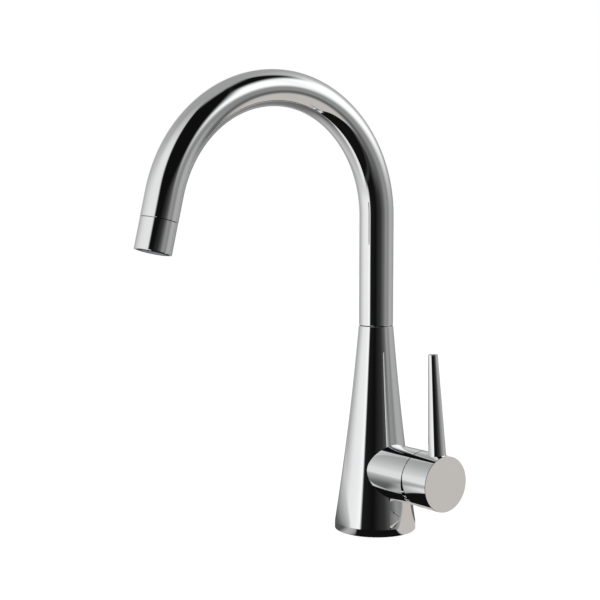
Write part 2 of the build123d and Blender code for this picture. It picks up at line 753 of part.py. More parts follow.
def hose_nut():
    nut = disc(HOSE_NUT_R, -HOSE_NUT_END, -NECK_LENGTH - NUT_TOP_GAP)
    nut -= disc(NECK_THREAD_R + TIGHT, -FLANGE_TOP - PLAY, -NECK_LENGTH)
    nut -= disc(SWIVEL_STEM_R + RUNNING, -HOSE_NUT_END - PAST, -FLANGE_FOOT)
    for side in (-1, 1):
        inner = side * NUT_FLAT_X
        nut -= block(inner, side * FAR, -FAR, FAR, -NUT_FLAT_END, -NUT_FLAT_START)
    return on_head(nut)


def hose_washer():
    top = -FLANGE_FOOT + TIGHT
    return on_head(ring(HOSE_WASHER_R, HOSE_WASHER_BORE_R, top, -NECK_THREAD_END - TIGHT))


def wand_shell():
    shell = disc(HEAD_R, HEAD_GAP, HEAD_LENGTH)
    shell = chamfer(shell.edges().group_by(Axis.Z)[-1], HEAD_FOOT_EDGE)
    shell = chamfer(shell.edges().group_by(Axis.Z)[0], HEAD_TOP_EDGE)
    floor_z = HEAD_GAP + HEAD_TOP_THICK
    shell -= disc(HEAD_BORE_R, floor_z, HEAD_LENGTH + PAST)
    return on_head(shell - disc(NECK_R, 0, floor_z + PAST))


def wand_core():
    """Plastic waterway: threaded neck, check-valve bore and the cup for the aerator."""
    floor_z = HEAD_GAP + HEAD_TOP_THICK + END_PLAY
    core = disc(NECK_R - FIT, -NECK_LENGTH, floor_z + PAST)
    core += disc(NECK_THREAD_R, -NECK_THREAD_END, -NECK_LENGTH)
    core += disc(HEAD_BORE_R - FIT, floor_z, CORE_END)
    core -= disc(CHECK_SEAT_R, -NECK_THREAD_END - PAST, -CHECK_SEAT_END)
    core -= disc(CORE_BORE_R, -CHECK_SEAT_END - PAST, CUP_START + PAST)
    return on_head(core - disc(CUP_R, CUP_START, CORE_END + PAST))


def check_valve():
    valve = disc(CHECK_SEAT_R - END_PLAY, -CHECK_TOP, -CHECK_SEAT_END - PLAY)
    valve -= disc(CHECK_PORT_R, -CHECK_TOP - PAST, -CHECK_TOP + CHECK_WALL)
    return on_head(valve - ring(CHECK_WAY_R, CHECK_POPPET_R, -CHECK_WAY_START, -CHECK_SEAT_END))


def aerator_seal():
    return on_head(ring(CUP_R - PLAY, SEAL_BORE_R, CUP_START + END_PLAY, SEAL_END))


def aerator_housing():
    top = SEAL_END + END_PLAY
    housing = ring(CUP_R - END_PLAY, AERATOR_BORE_R, top, HEAD_LENGTH + AERATOR_STAND_OUT)
    housing += disc(AERATOR_PLATE_R, top, AERATOR_PLATE_END)
    holes = [disc(MIDDLE_JET_R, top - PAST, AERATOR_PLATE_END + PAST)]
    jet = disc(JET_R, top - PAST, AERATOR_PLATE_END + PAST)
    for circle_r, count in JET_CIRCLES:
        holes += [spot * jet for spot in PolarLocations(circle_r, count)]
    return on_head(housing - holes)


def aerator_screens():
    """Flow-straightening grid and the mesh ahead of it."""
    screens = []
    for z0, thick, bar in SCREENS:
        plate = ring(AERATOR_BORE_R - END_PLAY, SCREEN_RIM_R, z0, z0 + thick)
        for step in range(-SCREEN_STEPS, SCREEN_STEPS + 1):
            strip = Pos(step * SCREEN_PITCH, 0, z0 + thick / 2) * Box(bar, FAR, thick)
            strip += Pos(0, step * SCREEN_PITCH, z0 + thick / 2) * Box(FAR, bar, thick)
            plate += strip & disc(SCREEN_BAR_END_R, z0, z0 + thick)
        screens.append(on_head(plate))
    return screens


def hose_tail():
    """Crimped end of the hose under the deck, with the plug for the outlet connector."""
    low = HOSE_TAIL_Z - TAIL_FLOOR
    tail = disc(TAIL_CRIMP_R, low, HOSE_TAIL_Z + TAIL_CRIMP_LENGTH)
    tail += disc(TAIL_PLUG_R, HOSE_TAIL_Z - TAIL_PLUG_LENGTH, low)
    tail -= disc(HOSE_R + FIT, HOSE_TAIL_Z - PLAY, HOSE_TAIL_Z + TAIL_CRIMP_LENGTH + PAST)
    tail -= disc(TAIL_BORE_R, HOSE_TAIL_Z - TAIL_PLUG_LENGTH - PAST, HOSE_TAIL_Z + PAST)
    groove_foot = HOSE_TAIL_Z - TAIL_GROOVE_END
    return tail - groove(TAIL_PLUG_R, TAIL_GROOVE_R, groove_foot, HOSE_TAIL_Z - TAIL_GROOVE_START)


PIECES = {
    "body_shell": body_shell,
    "valve_housing": valve_housing,
    "base_gasket": base_gasket,
    "mounting_shank": mounting_shank,
    "deck_washer_rubber": deck_washer_rubber,
    "deck_washer_steel": deck_washer_steel,
    "mounting_nut": mounting_nut,
    "nut_screws": nut_screws,
    "outlet_tube": outlet_tube,
    "cartridge_base": cartridge_base,
    "cartridge_seals": cartridge_seals,
    "cartridge_case": cartridge_case,
    "fixed_disc": fixed_disc,
    "moving_disc": moving_disc,
    "disc_carrier": disc_carrier,
    "stem_guide": stem_guide,
    "cartridge_stem": cartridge_stem,
    "retaining_nut": retaining_nut,
    "dome_cover": dome_cover,
    "handle_cap": handle_cap,
    "lever_rod": lever_rod,
    "lever_stud": lever_stud,
    "set_screw": set_screw,
    "swivel_washer": swivel_washer,
    "spout_tube": spout_tube,
    "spout_adapter": spout_adapter,
    "bearing_rings": bearing_rings,
    "spout_orings": spout_orings,
    "snap_ring": snap_ring,
    "dock_collar": dock_collar,
    "spray_hose": spray_hose,
    "hose_tail": hose_tail,
    "hose_ferrule": hose_ferrule,
    "hose_nut": hose_nut,
    "hose_washer": hose_washer,
    "wand_shell": wand_shell,
    "wand_core": wand_core,
    "check_valve": check_valve,
    "aerator_seal": aerator_seal,
    "aerator_housing": aerator_housing,
    "aerator_screens": aerator_screens,
}

os.makedirs("parts", exist_ok=True)
for name, make in PIECES.items():
    made = make()
    group = made if isinstance(made, list) else [made]
    solids = [solid for shape in group for solid in shape.solids()]
    piece = solids[0] if len(solids) == 1 else Compound(children=solids)
    export_step(piece, f"parts/{name}.step")
    print(name, len(solids), round(sum(solid.volume for solid in solids), 1))
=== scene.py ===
import json
from math import cos, pi, radians, sin

import bmesh
import bpy
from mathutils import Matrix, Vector


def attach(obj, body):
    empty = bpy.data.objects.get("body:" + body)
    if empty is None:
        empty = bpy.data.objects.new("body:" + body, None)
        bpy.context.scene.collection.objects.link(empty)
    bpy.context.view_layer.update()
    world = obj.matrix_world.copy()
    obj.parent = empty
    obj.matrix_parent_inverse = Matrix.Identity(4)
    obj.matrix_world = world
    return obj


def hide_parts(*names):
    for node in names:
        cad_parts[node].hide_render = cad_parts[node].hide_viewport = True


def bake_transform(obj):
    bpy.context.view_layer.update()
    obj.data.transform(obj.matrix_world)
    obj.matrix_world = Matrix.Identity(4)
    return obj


# Looks for the pull-down kitchen faucet. Metres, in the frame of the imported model:
# +Z is up, the deck is at z = 0, the spout reaches towards -Y and the valve lies along +X.

# camera
CAMERA_PLACE = (0.7559, -0.6508, 0.2620)
CAMERA_AZIMUTH = 52.87
CAMERA_TILT_DOWN = 4.151
CAMERA_LENS = 72.8

# studio: how far its cards are turned about the upright, in degrees, and its plain walls
STUDIO_TURN = 40.7
STUDIO_GREY = (0.376, 0.376, 0.376)


def grey(level):
    return (level, level, level)


# each card is its azimuth, elevation, half width, half height, soft edge across and soft edge up,
# all in degrees, and then its colour
WALL_CARDS = [
    ((-62, 0, 50, 30, 45, 30), grey(0.90)),
    ((-42, 26, 34, 34, 26, 24), grey(0.85)),
    ((100, 18, 52, 38, 22, 22), grey(0.60)),
    ((-2, -16, 38, 16, 5, 5), grey(0.006)),
    ((88, -15, 66, 14, 22, 8), grey(0.13)),
]
LAMP_CARDS = [
    ((72, 24, 10, 15, 7, 9), grey(1.15)),
    ((104, 27, 24, 17, 12, 10), grey(1.15)),
    ((-165, 14, 14, 12, 12, 10), grey(0.95)),
    ((21, 40, 40, 34, 6, 7), grey(0.005)),
    ((82, 60, 30, 15, 10, 7), grey(0.005)),
]

# brightness round the horizon, which the upright surfaces mirror
HORIZON = [
    (-180, 0.205),
    (-170, 0.376),
    (-135, 0.45),
    (-89, 0.87),
    (-60, 0.93),
    (-45, 1.05),
    (-39, 0.012),
    (-5, 0.005),
    (28, 0.04),
    (50, 0.14),
    (68, 0.305),
    (86, 0.26),
    (99, 0.445),
    (128, 0.43),
    (160, 0.30),
    (180, 0.205),
]
HORIZON_BAND = (0, -1, 400, 13, 1, 6)

# what the polished parts mirror of the table, a painted reflection: a pale card, a black card and a bare half
# with painted shade that darkens inwards
TABLE_RADIUS = 0.74
TABLE_FADE_START = 0.42
CARD_EDGE_X = 0.011
CARD_EDGE_SLOPE = 0.06
CARD_EDGE_SOFTNESS = 0.002
WARM_CARD = (0.575, 0.543, 0.515)
BLACK_CARD = grey(0.006)
# painted shade: grey levels of the bare half by distance from the body, darker close to it
PAINTED_TABLE_SHADE = [
    (0.0, 0.05),
    (0.045, 0.10),
    (0.08, 0.14),
    (0.15, 0.32),
    (0.30, 0.50),
    (TABLE_RADIUS, 0.78),
]
# painted light and painted shade: the glow of the bare half on its lit side and on its shaded side
PAINTED_LIT_SIDE = grey(0.95)
PAINTED_SHADED_SIDE = grey(0.12)
TABLE_SIDES = 96

# the bare half is painted brighter towards -Y and darker towards +Y: painted light and painted shade.
# Facing is 1 straight towards -Y and -1 straight away from it.
BRIGHT_FACING = (0.86, 1.0)
BRIGHT_SHARE = 0.85
DIM_FACING = (0.1, -0.5)
DIM_SHARE = 0.8

# the painted bright side narrows close to the body, between these two distances in metres
NARROWING_REACH = (0.05, 0.12)
NARROWING = 0.07

# worktop that the camera sees
FLOOR_HALF = 3.0
FLOOR_GLOW = 0.82
FLOOR_COLOUR = (0.6, 0.6, 0.6, 1)

# spout, in metres: riser, two bends and the straight end that carries the spray head
SPOUT_FOOT_Z = 0.1694
RISER_TOP_Z = 0.2587
RISE_BEND_R = 0.0979
FALL_BEND_R = 0.1056
SPOUT_TURN = radians(166.65)
SPOUT_END = 0.0196
SPOUT_R = 0.0140
SPOUT_BORE_R = 0.0128
SPOUT_EDGE = 0.0002

# spray hose
HOSE_FOOT_Z = -0.082
HOSE_R = 0.00575
HOSE_BORE_R = 0.0035
HOSE_LAST_TURN = radians(60)
HOSE_LAST_BEND_R = 0.0685
HOSE_ENTRY = 0.041
HOSE_END = 0.0295
HOSE_EDGE = 0.0001
BRAID_STRANDS = 14
BRAID_PITCH = 0.0026

# body: a waisted cone over a short upright foot
CONE_FOOT_Z = 0.0060
CONE_TOP_Z = 0.1691
CONE_FOOT_R = 0.0334
CONE_TOP_R = 0.01417
CONE_WAIST = 0.00137
FOOT_SIDE_R = 0.033
FOOT_CHAMFER_Z = 0.0005

# a face belongs to the cone when it lies this near to it and looks this much outwards
CONE_NEARNESS = 0.0003
OUTWARDS = 0.8

# finer mesh: longest edge on the cone, rounds of cutting, points closer than WELD are one,
# and the angle from which a corner stays sharp
CUT_LENGTH = 0.004
CUT_ROUNDS = 5
WELD = 1e-6
SHARP_ANGLE = radians(30)

RING_SIDES = 112
BEND_STEP = radians(1.5)
FALL_TURN = SPOUT_TURN - radians(90)
CROWN_Z = RISER_TOP_Z + RISE_BEND_R
OUTLET = Vector((0, -sin(SPOUT_TURN), cos(SPOUT_TURN)))


def node(tree, kind, **settings):
    """Adds a node and sets its plain properties."""
    made = tree.nodes.new(kind)
    for name, value in settings.items():
        setattr(made, name, value)
    return made


def join(tree, source, target):
    tree.links.new(source, target)


def maths(tree, operation, *values, clamp=False):
    """A math node fed with sockets or numbers. Returns its output."""
    made = node(tree, "ShaderNodeMath", operation=operation, use_clamp=clamp)
    for slot, value in zip(made.inputs, values):
        if isinstance(value, (int, float)):
            slot.default_value = value
        else:
            join(tree, value, slot)
    return made.outputs[0]


def smooth_range(tree, value, low, high, to_low=0.0, to_high=1.0):
    """Runs smoothly from to_low to to_high as value goes from low to high."""
    made = node(tree, "ShaderNodeMapRange", interpolation_type="SMOOTHSTEP")
    join(tree, value, made.inputs["Value"])
    for name, number in zip(("From Min", "From Max", "To Min", "To Max"), (low, high, to_low, to_high)):
        made.inputs[name].default_value = number
    return made.outputs["Result"]


def mix_colour(tree, share, first, second):
    """A colour mix fed with sockets or colours. Returns its output."""
    made = node(tree, "ShaderNodeMix", data_type="RGBA", clamp_factor=True)
    slots = [made.inputs[0], made.inputs[6], made.inputs[7]]
    for slot, value in zip(slots, (share, first, second)):
        if isinstance(value, (int, float)):
            slot.default_value = value
        elif isinstance(value, tuple):
            slot.default_value = (*value, 1.0)
        else:
            join(tree, value, slot)
    return made.outputs[2]


def card_mask(tree, azimuth, elevation, card):
    """1 inside a studio card and 0 outside, with a soft edge."""
    middle_az, middle_el, half_az, half_el, soft_az, soft_el = card
    turned = maths(tree, "WRAP", maths(tree, "SUBTRACT", azimuth, middle_az), 180, -180)
    across = maths(tree, "ABSOLUTE", turned)
    along = maths(tree, "ABSOLUTE", maths(tree, "SUBTRACT", elevation, middle_el))
    across_mask = smooth_range(tree, across, half_az - soft_az, half_az + soft_az, 1.0, 0.0)
    along_mask = smooth_range(tree, along, half_el - soft_el, half_el + soft_el, 1.0, 0.0)
    return maths(tree, "MULTIPLY", across_mask, along_mask)


def grey_ramp(tree, place, stops):
    """Greys between stops, each a place from 0 to 1 and a level."""
    ramp = node(tree, "ShaderNodeValToRGB")
    elements = ramp.color_ramp.elements
    elements.remove(elements[-1])
    elements[0].position = stops[0][0]
    elements[0].color = (*grey(stops[0][1]), 1)
    for position, level in stops[1:]:
        elements.new(position).color = (*grey(level), 1)
    join(tree, place, ramp.inputs["Fac"])
    return ramp.outputs["Color"]


def horizon_ramp(tree, azimuth):
    share = maths(tree, "DIVIDE", maths(tree, "ADD", azimuth, 180.0), 360.0)
    return grey_ramp(tree, share, [((degrees + 180) / 360, level) for degrees, level in HORIZON])


def make_studio():
    """A plain grey room with light and dark cards, which only reflections show. The camera sees white."""
    world = bpy.data.worlds.new("studio")
    bpy.context.scene.world = world
    world.use_nodes = True
    tree = world.node_tree
    tree.nodes.clear()
    place = node(tree, "ShaderNodeTexCoord").outputs["Generated"]
    parts = node(tree, "ShaderNodeSeparateXYZ")
    join(tree, place, parts.inputs[0])
    turn = maths(tree, "MULTIPLY", maths(tree, "ARCTAN2", parts.outputs["Y"], parts.outputs["X"]), 180 / pi)
    azimuth = maths(tree, "WRAP", maths(tree, "ADD", turn, STUDIO_TURN), 180, -180)
    elevation = maths(tree, "MULTIPLY", maths(tree, "ARCSINE", parts.outputs["Z"]), 180 / pi)
    colour = STUDIO_GREY
    for card, brightness in WALL_CARDS:
        colour = mix_colour(tree, card_mask(tree, azimuth, elevation, card), colour, brightness)
    near_horizon = card_mask(tree, azimuth, elevation, HORIZON_BAND)
    colour = mix_colour(tree, near_horizon, colour, horizon_ramp(tree, azimuth))
    for card, brightness in LAMP_CARDS:
        colour = mix_colour(tree, card_mask(tree, azimuth, elevation, card), colour, brightness)
    seen = node(tree, "ShaderNodeLightPath").outputs["Is Camera Ray"]
    background = node(tree, "ShaderNodeBackground")
    join(tree, mix_colour(tree, seen, colour, (1.0, 1.0, 1.0)), background.inputs["Color"])
    join(tree, background.outputs[0], node(tree, "ShaderNodeOutputWorld").inputs["Surface"])


def make_floor():
    """A pale worktop at deck level, bright enough to leave only a trace of shadow."""
    mesh = bpy.data.meshes.new("worktop")
    corners = [(x * FLOOR_HALF, y * FLOOR_HALF, 0) for x, y in ((-1, -1), (1, -1), (1, 1), (-1, 1))]
    mesh.from_pydata(corners, [], [(0, 1, 2, 3)])
    floor = bpy.data.objects.new("worktop", mesh)
    bpy.context.scene.collection.objects.link(floor)
    floor.visible_glossy = False
    material = bpy.data.materials.new("worktop_white")
    material.use_nodes = True
    tree = material.node_tree
    tree.nodes.clear()
    glow = node(tree, "ShaderNodeEmission")
    glow.inputs["Strength"].default_value = FLOOR_GLOW
    matte = node(tree, "ShaderNodeBsdfDiffuse")
    matte.inputs["Color"].default_value = FLOOR_COLOUR
    both = node(tree, "ShaderNodeAddShader")
    join(tree, glow.outputs[0], both.inputs[0])
    join(tree, matte.outputs[0], both.inputs[1])
    join(tree, both.outputs[0], node(tree, "ShaderNodeOutputMaterial").inputs["Surface"])
    mesh.materials.append(material)


def painted_table_reflection_material():
    """Painted reflection of the table. Glows by place: two cards on one side, the bare half with its painted
    shade and painted light on the other, and nothing past the rim.
    """
    material = bpy.data.materials.new("painted_table_reflection")
    material.use_nodes = True
    tree = material.node_tree
    tree.nodes.clear()
    place = node(tree, "ShaderNodeTexCoord").outputs["Object"]
    parts = node(tree, "ShaderNodeSeparateXYZ")
    join(tree, place, parts.inputs[0])
    x, y = parts.outputs["X"], parts.outputs["Y"]
    measured = node(tree, "ShaderNodeVectorMath", operation="LENGTH")
    join(tree, place, measured.inputs[0])
    distance = measured.outputs["Value"]

    # painted shade: the bare half darkens towards the body
    share = maths(tree, "DIVIDE", distance, TABLE_RADIUS)
    painted_light_and_shade = grey_ramp(tree, share, [(radius / TABLE_RADIUS, level) for radius, level in PAINTED_TABLE_SHADE])
    # painted light and shade by side: the bare half is painted brighter towards -Y, narrowing near the body,
    # and darker towards +Y
    facing = maths(tree, "DIVIDE", maths(tree, "MULTIPLY", y, -1.0), distance)
    narrowing = smooth_range(tree, distance, *NARROWING_REACH, NARROWING, 0.0)
    bright = smooth_range(tree, maths(tree, "SUBTRACT", facing, narrowing), *BRIGHT_FACING, 0.0, BRIGHT_SHARE)
    painted_light_and_shade = mix_colour(tree, bright, painted_light_and_shade, PAINTED_LIT_SIDE)
    painted_light_and_shade = mix_colour(tree, smooth_range(tree, facing, *DIM_FACING, 0.0, DIM_SHARE), painted_light_and_shade, PAINTED_SHADED_SIDE)

    right = smooth_range(tree, x, CARD_EDGE_X - CARD_EDGE_SOFTNESS, CARD_EDGE_X + CARD_EDGE_SOFTNESS)
    across = maths(tree, "SUBTRACT", y, maths(tree, "MULTIPLY", x, CARD_EDGE_SLOPE))
    beyond_edge = smooth_range(tree, across, -CARD_EDGE_SOFTNESS, CARD_EDGE_SOFTNESS)
    cards = mix_colour(tree, beyond_edge, BLACK_CARD, WARM_CARD)
    # the table glows though it is no lamp: a painted reflection for the polished parts
    glow = node(tree, "ShaderNodeEmission")
    join(tree, mix_colour(tree, right, painted_light_and_shade, cards), glow.inputs["Color"])

    faded = node(tree, "ShaderNodeMixShader")
    join(tree, smooth_range(tree, distance, TABLE_FADE_START, TABLE_RADIUS), faded.inputs["Fac"])
    join(tree, glow.outputs[0], faded.inputs[1])
    join(tree, node(tree, "ShaderNodeBsdfTransparent").outputs[0], faded.inputs[2])
    join(tree, faded.outputs[0], node(tree, "ShaderNodeOutputMaterial").inputs["Surface"])
    return material


def make_painted_table_reflection():
    """A round table top at deck level that only reflections see. It glows, a painted reflection of the lit
    table.
    """
    mesh = bpy.data.meshes.new("painted_table_reflection")
    turns = [2 * pi * k / TABLE_SIDES for k in range(TABLE_SIDES)]
    rim = [(TABLE_RADIUS * cos(turn), TABLE_RADIUS * sin(turn), 0) for turn in turns]
    mesh.from_pydata(rim, [], [tuple(range(TABLE_SIDES))])
    table = bpy.data.objects.new("painted_table_reflection", mesh)
    bpy.context.scene.collection.objects.link(table)
    # hidden from the camera, from diffuse light and from shadows, so only reflections see this painted
    # reflection
    table.visible_camera = False
    table.visible_diffuse = False
    table.visible_shadow = False
    mesh.materials.append(painted_table_reflection_material())


def make_camera():
    data = bpy.data.cameras.new("camera")
    data.lens = CAMERA_LENS
    data.clip_start = 0.01
    camera = bpy.data.objects.new("camera", data)
    bpy.context.scene.collection.objects.link(camera)
    camera.location = CAMERA_PLACE
    camera.rotation_euler = (radians(90 - CAMERA_TILT_DOWN), 0, radians(CAMERA_AZIMUTH))
    bpy.context.scene.camera = camera


def new_material(name):
    """An empty material with a Principled shader. Returns the material, its tree and the shader."""
    material = bpy.data.materials.new(name)
    material.use_nodes = True
    tree = material.node_tree
    return material, tree, tree.nodes["Principled BSDF"]


def noise(tree, scale, detail=2.0, stretch=(1, 1, 1)):
    """Noise over the piece's own coordinates, in cycles per metre."""
    place = node(tree, "ShaderNodeTexCoord").outputs["Object"]
    mapping = node(tree, "ShaderNodeMapping")
    mapping.inputs["Scale"].default_value = stretch
    join(tree, place, mapping.inputs["Vector"])
    made = node(tree, "ShaderNodeTexNoise")
    made.inputs["Scale"].default_value = scale
    made.inputs["Detail"].default_value = detail
    join(tree, mapping.outputs["Vector"], made.inputs["Vector"])
    return made.outputs["Fac"]


def bump(tree, shader, height, strength, distance):
    made = node(tree, "ShaderNodeBump")
    made.inputs["Strength"].default_value = strength
    made.inputs["Distance"].default_value = distance
    join(tree, height, made.inputs["Height"])
    join(tree, made.outputs["Normal"], shader.inputs["Normal"])


def finish_material(name, dark, light, rough, metallic, grain, bump_strength, bump_depth, stretch=(1, 1, 1)):
    """A surface whose colour, roughness and relief all vary with a fine grain."""
    material, tree, shader = new_material(name)
    shader.inputs["Metallic"].default_value = metallic
    cloud = noise(tree, grain / 8, 3.0)
    fine = noise(tree, grain, 3.0, stretch)
    join(tree, mix_colour(tree, cloud, dark, light), shader.inputs["Base Color"])
    join(tree, smooth_range(tree, cloud, 0.25, 0.75, rough[0], rough[1]), shader.inputs["Roughness"])
    bump(tree, shader, fine, bump_strength, bump_depth)
    return material


def make_chrome():
    """Polished chrome: near-mirror, with the faint smears and slow ripple of a plated surface."""
    material, tree, shader = new_material("polished_chrome")
    shader.inputs["Metallic"].default_value = 1.0
    cloud = noise(tree, 45.0, 3.0)
    colour = mix_colour(tree, cloud, (0.865, 0.872, 0.880), (0.905, 0.908, 0.912))
    join(tree, colour, shader.inputs["Base Color"])
    smear = noise(tree, 160.0, 4.0, (1, 1, 0.35))
    join(tree, smooth_range(tree, smear, 0.35, 0.8, 0.018, 0.05), shader.inputs["Roughness"])
    bump(tree, shader, noise(tree, 60.0, 1.0), 0.03, 0.0002)
    return material


def assign(part, material):
    """Gives every slot of a CAD node the same material."""
    slots = part.data.materials
    if len(slots) == 0:
        slots.append(material)
    for index in range(len(slots)):
        slots[index] = material


def straight(points, start, end, count):
    """Adds evenly spaced stations of a straight run: each is a place and a direction."""
    heading = (end - start).normalized()
    for step in range(count + 1):
        points.append((start.lerp(end, step / count), heading))


def bend(points, centre, radius, start, end):
    """Adds stations of an arc in the YZ plane. Angles count from +Y towards +Z."""
    count = max(2, round(abs(end - start) / BEND_STEP))
    way = 1 if end > start else -1
    for step in range(count + 1):
        angle = start + (end - start) * step / count
        place = centre + radius * Vector((0, cos(angle), sin(angle)))
        points.append((place, way * Vector((0, -sin(angle), cos(angle)))))


def fall_centre():
    return Vector((0, -RISE_BEND_R, CROWN_Z - FALL_BEND_R))


def seam_place():
    """Where the spray head meets the spout, on the centreline."""
    angle = radians(90) + FALL_TURN
    bend_end = fall_centre() + FALL_BEND_R * Vector((0, -cos(radians(180) - angle), sin(angle)))
    return bend_end + OUTLET * SPOUT_END


def spout_route():
    points = []
    top = Vector((0, 0, RISER_TOP_Z))
    straight(points, Vector((0, 0, SPOUT_FOOT_Z)), top, 8)
    bend(points, Vector((0, -RISE_BEND_R, RISER_TOP_Z)), RISE_BEND_R, 0, radians(90))
    bend(points, fall_centre(), FALL_BEND_R, radians(90), radians(90) + FALL_TURN)
    straight(points, seam_place() - OUTLET * SPOUT_END, seam_place(), 4)
    return points


def hose_route():
    """Up the body, round the first bend and a little further, across the tube and into the ferrule."""
    points = []
    straight(points, Vector((0, 0, HOSE_FOOT_Z)), Vector((0, 0, RISER_TOP_Z)), 60)
    bend(points, Vector((0, -RISE_BEND_R, RISER_TOP_Z)), RISE_BEND_R, 0, radians(90))
    leave = radians(90) + FALL_TURN - HOSE_LAST_TURN
    bend(points, fall_centre(), FALL_BEND_R, radians(90), leave)
    entry = seam_place() - OUTLET * HOSE_ENTRY
    end_angle = radians(90) + FALL_TURN
    last_centre = entry - HOSE_LAST_BEND_R * Vector((0, cos(end_angle), sin(end_angle)))
    first = last_centre + HOSE_LAST_BEND_R * Vector((0, cos(leave), sin(leave)))
    straight(points, points[-1][0], first, 16)
    bend(points, last_centre, HOSE_LAST_BEND_R, leave, end_angle)
    return points


def tube_mesh(name, stations, outer, inner, edge):
    """A round pipe along the stations, with broken edges and a UV map of turn and length in metres."""
    stations = [s for k, s in enumerate(stations) if k == 0 or (s[0] - stations[k - 1][0]).length > WELD]
    reach = [0.0]
    for before, after in zip(stations, stations[1:]):
        reach.append(reach[-1] + (after[0] - before[0]).length)
    first, last = stations[0], stations[-1]
    inside = list(zip(stations, reach))[1:-1]
    rings = [(first[0], first[1], outer - edge, reach[0])]
    rings.append((first[0] + first[1] * edge, first[1], outer, reach[0]))
    rings += [(place, heading, outer, along) for (place, heading), along in inside]
    rings.append((last[0] - last[1] * edge, last[1], outer, reach[-1]))
    rings.append((last[0], last[1], outer - edge, reach[-1]))
    rings.append((last[0], last[1], inner, reach[-1]))
    rings += [(place, heading, inner, along) for (place, heading), along in reversed(inside)]
    rings.append((first[0], first[1], inner, reach[0]))
    points, faces, turns = [], [], []
    for place, heading, radius, along in rings:
        side = Vector((1, 0, 0))
        other = heading.cross(side).normalized()
        for k in range(RING_SIDES):
            angle = 2 * pi * k / RING_SIDES
            points.append(place + radius * (cos(angle) * side + sin(angle) * other))
    for row in range(len(rings)):
        after = (row + 1) % len(rings)
        here, there = row * RING_SIDES, after * RING_SIDES
        along_here, along_there = rings[row][3], rings[after][3]
        for k in range(RING_SIDES):
            n = (k + 1) % RING_SIDES
            faces.append([here + k, here + n, there + n, there + k])
            turns.append([(k, along_here), (k + 1, along_here), (k + 1, along_there), (k, along_there)])
    mesh = bpy.data.meshes.new(name)
    mesh.from_pydata(points, [], faces)
    mesh.update()
    layer = mesh.uv_layers.new(name="turn_and_length")
    for face, corners in zip(mesh.polygons, turns):
        for loop, (k, along) in zip(face.loop_indices, corners):
            layer.data[loop].uv = (k / RING_SIDES, along)
    mesh.shade_smooth()
    mesh.set_sharp_from_angle(angle=SHARP_ANGLE)
    return mesh


def add_piece(name, mesh, material):
    mesh.materials.append(material)
    piece = bpy.data.objects.new(name, mesh)
    bpy.context.scene.collection.objects.link(piece)
    return piece


def cone_radius(z):
    share = (z - CONE_FOOT_Z) / (CONE_TOP_Z - CONE_FOOT_Z)
    return CONE_FOOT_R + share * (CONE_TOP_R - CONE_FOOT_R) - CONE_WAIST * 4 * share * (1 - share)


def on_cone(place, normal):
    """True for a point of the body's outer cone, facing outwards."""
    if not CONE_FOOT_Z - 1e-5 < place.z < CONE_TOP_Z:
        return False
    away = Vector((place.x, place.y, 0))
    near = abs(away.length - cone_radius(place.z)) < CONE_NEARNESS
    return near and normal.dot(away.normalized()) > OUTWARDS


def on_foot(place, normal):
    """True for a point of the upright foot under the cone, facing outwards."""
    away = Vector((place.x, place.y, 0))
    upright = FOOT_CHAMFER_Z < place.z < CONE_FOOT_Z and away.length > FOOT_SIDE_R
    return upright and normal.dot(away.normalized()) > OUTWARDS


def cone_normal(place):
    away = Vector((place.x, place.y, 0)).normalized()
    rise = 0.001
    slope = (cone_radius(place.z + rise) - cone_radius(place.z - rise)) / (2 * rise)
    return (away - slope * Vector((0, 0, 1))).normalized()


def refined_body(source):
    """The body with its cone cut finely and true normals, so that reflections run evenly."""
    work = bmesh.new()
    work.from_mesh(source)
    bmesh.ops.remove_doubles(work, verts=work.verts, dist=WELD)
    bmesh.ops.triangulate(work, faces=work.faces)
    for _ in range(CUT_ROUNDS):
        cone_faces = {f for f in work.faces if on_cone(f.calc_center_median(), f.normal)}
        cone_edges = [e for e in work.edges if any(f in cone_faces for f in e.link_faces)]
        cut = [e for e in cone_edges if e.calc_length() > CUT_LENGTH]
        if not cut:
            break
        made = bmesh.ops.subdivide_edges(work, edges=cut, cuts=1)
        bmesh.ops.triangulate(work, faces=[f for f in work.faces if len(f.verts) > 3])
        work.normal_update()
        fresh = [v for v in made["geom_inner"] if isinstance(v, bmesh.types.BMVert)]
        for v in fresh:
            if all(on_cone(f.calc_center_median(), f.normal) for f in v.link_faces):
                away = Vector((v.co.x, v.co.y))
                away *= cone_radius(v.co.z) / away.length
                v.co.x, v.co.y = away
    work.normal_update()
    mesh = bpy.data.meshes.new("polished_body")
    work.to_mesh(mesh)
    work.free()
    mesh.materials.clear()
    mesh.shade_smooth()
    mesh.set_sharp_from_angle(angle=SHARP_ANGLE)
    normals = [corner.vector.copy() for corner in mesh.corner_normals]
    for face in mesh.polygons:
        centre, facing = face.center, face.normal
        for loop in face.loop_indices:
            place = mesh.vertices[mesh.loops[loop].vertex_index].co
            if on_cone(centre, facing):
                normals[loop] = cone_normal(place)
            elif on_foot(centre, facing):
                normals[loop] = Vector((place.x, place.y, 0)).normalized()
    mesh.normals_split_custom_set([tuple(n) for n in normals])
    return mesh


